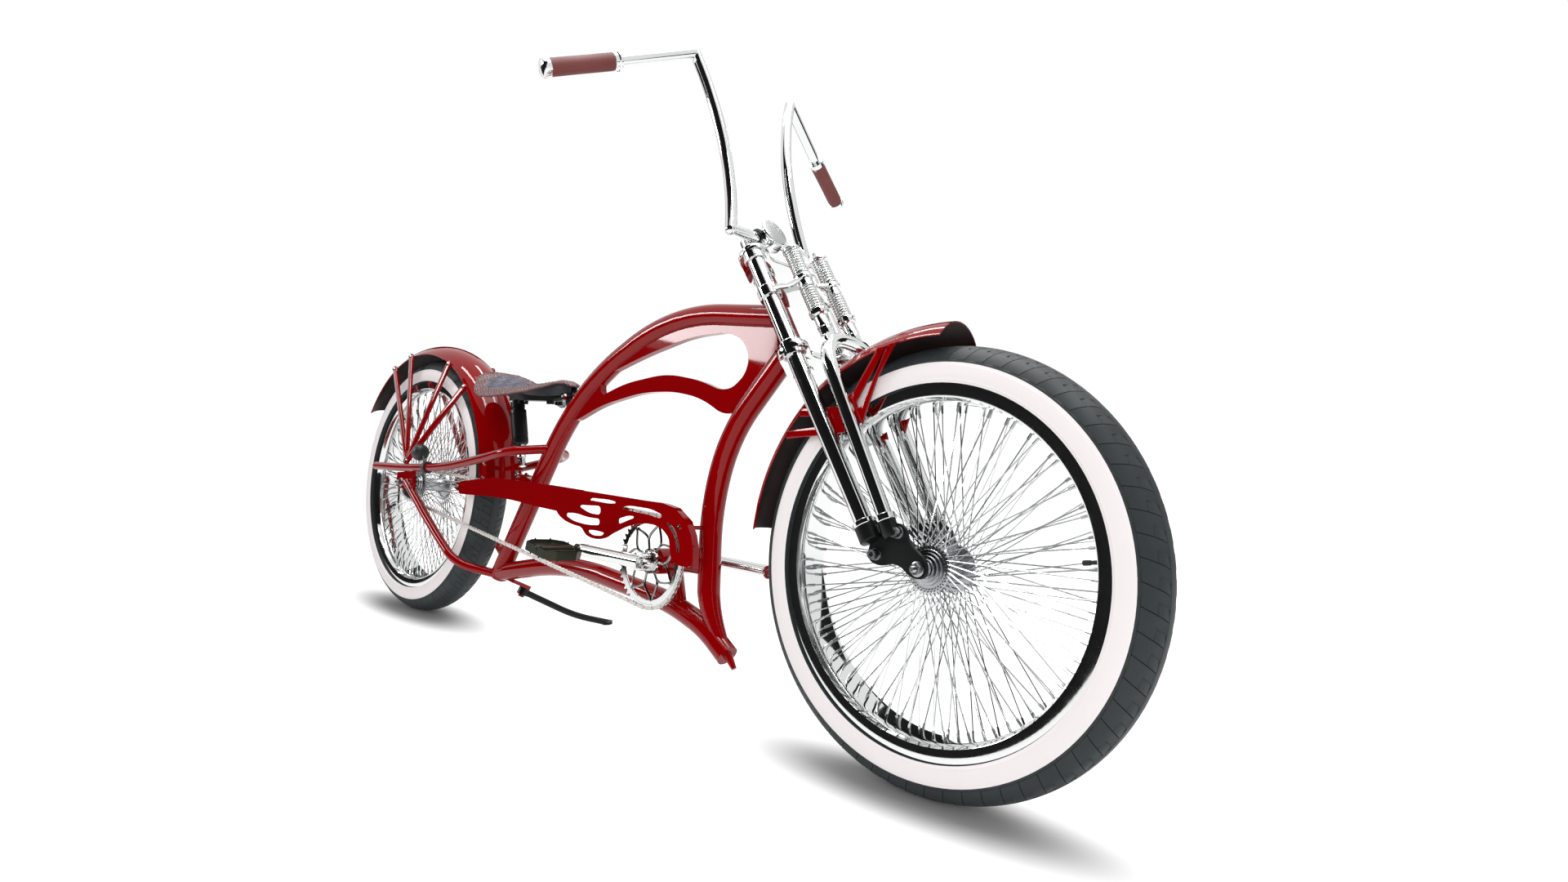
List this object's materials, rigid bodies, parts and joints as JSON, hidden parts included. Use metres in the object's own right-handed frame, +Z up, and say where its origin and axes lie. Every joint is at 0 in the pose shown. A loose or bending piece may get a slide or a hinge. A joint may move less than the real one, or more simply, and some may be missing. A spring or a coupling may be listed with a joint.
{
  "type": "chopper bicycle",
  "caption": "Stretched chopper bicycle leaning on its side stand: arched red frame, springer fork, tall chrome bars, white-wall balloon tyres and fenders.",
  "frame": {"origin": "on the ground, under the middle of the parked bicycle's bounding box", "axes": "+X forward, towards the front wheel; +Y to the rider's left, the side that the bicycle leans to; +Z up"},
  "size_m": [2.396, 0.8412, 1.2899],
  "materials": {
    "red_enamel": "deep glossy red enamel on steel",
    "chrome": "bright chrome plate",
    "spoke_steel": "polished stainless spokes",
    "axle_steel": "zinc plated steel",
    "chain_steel": "nickel plated links",
    "black_enamel": "glossy black",
    "saddle_leather": "dark embossed leather",
    "grip_rubber": "red-brown moulded rubber",
    "tyre_rubber": "dark rubber with white side walls",
    "black_nylon": "black moulded plastic"
  },
  "bodies": {
    "frame": {"head_tube": "red_enamel", "headset_cups": "chrome", "arch_tube": "red_enamel", "web_plate": "red_enamel", "down_tube": "red_enamel", "lower_tube": "red_enamel", "bottom_bracket": "red_enamel", "upper_stays": "red_enamel", "lower_stays": "red_enamel", "dropouts": "red_enamel", "rear_axle": "axle_steel", "rear_fender": "red_enamel", "rear_fender_struts": "red_enamel", "chain": "chain_steel", "chain_guard": "red_enamel", "saddle": "saddle_leather", "saddle_frame": "black_enamel", "shock": "black_enamel", "shock_bracket": "red_enamel", "reflector": "black_nylon", "stand_bracket": "red_enamel"},
    "fork": {"steerer": "chrome", "top_clamp": "chrome", "spring_bracket": "chrome", "lower_crown": "chrome", "rear_legs": "chrome", "front_fork": "chrome", "springs": "chrome", "rockers": "black_enamel", "front_axle": "axle_steel", "front_fender": "red_enamel", "front_fender_struts": "red_enamel", "stem": "chrome", "handlebar": "chrome", "grip_left": "grip_rubber", "grip_right": "grip_rubber"},
    "front_wheel": {"front_tyre": "tyre_rubber", "front_rim": "chrome", "front_spokes": "spoke_steel", "front_hub": "chrome"},
    "rear_wheel": {"rear_tyre": "tyre_rubber", "rear_rim": "chrome", "rear_spokes": "spoke_steel", "rear_hub": "chrome"},
    "crank": {"crankset": "chrome", "chainring": "chrome"},
    "pedal_left": {"pedal_left": "black_nylon"},
    "pedal_right": {"pedal_right": "black_nylon"},
    "side_stand": {"side_stand": "black_enamel"}
  },
  "joints": [
    {"name": "steering", "type": "hinge", "parent": "frame", "child": "fork", "pos_m": [0.42948, -0.04799, 0.78855], "axis": [-0.5548, 0.1158, 0.8239], "range_deg": [-40, 40]},
    {"name": "front_wheel_spin", "type": "hinge", "parent": "fork", "child": "front_wheel", "pos_m": [0.844, -0.10947, 0.35104], "axis": [0, 0.9903, -0.1392], "continuous": true},
    {"name": "rear_wheel_spin", "type": "hinge", "parent": "frame", "child": "rear_wheel", "pos_m": [-0.844, -0.10947, 0.35104], "axis": [0, 0.9903, -0.1392], "continuous": true},
    {"name": "crank_spin", "type": "hinge", "parent": "frame", "child": "crank", "pos_m": [0.216, -0.11977, 0.27776], "axis": [0, 0.9903, -0.1392], "continuous": true},
    {"name": "pedal_left_spin", "type": "hinge", "parent": "crank", "child": "pedal_left", "pos_m": [0.391, 0.04461, 0.25466], "axis": [0, 0.9903, -0.1392], "continuous": true},
    {"name": "pedal_right_spin", "type": "hinge", "parent": "crank", "child": "pedal_right", "pos_m": [0.041, -0.28416, 0.30086], "axis": [0, 0.9903, -0.1392], "continuous": true},
    {"name": "stand_fold", "type": "hinge", "parent": "frame", "child": "side_stand", "pos_m": [-0.376, -0.105, 0.12421], "axis": [0.0907, 0.4876, 0.8683], "range_deg": [0, 94.5]}
  ]
}
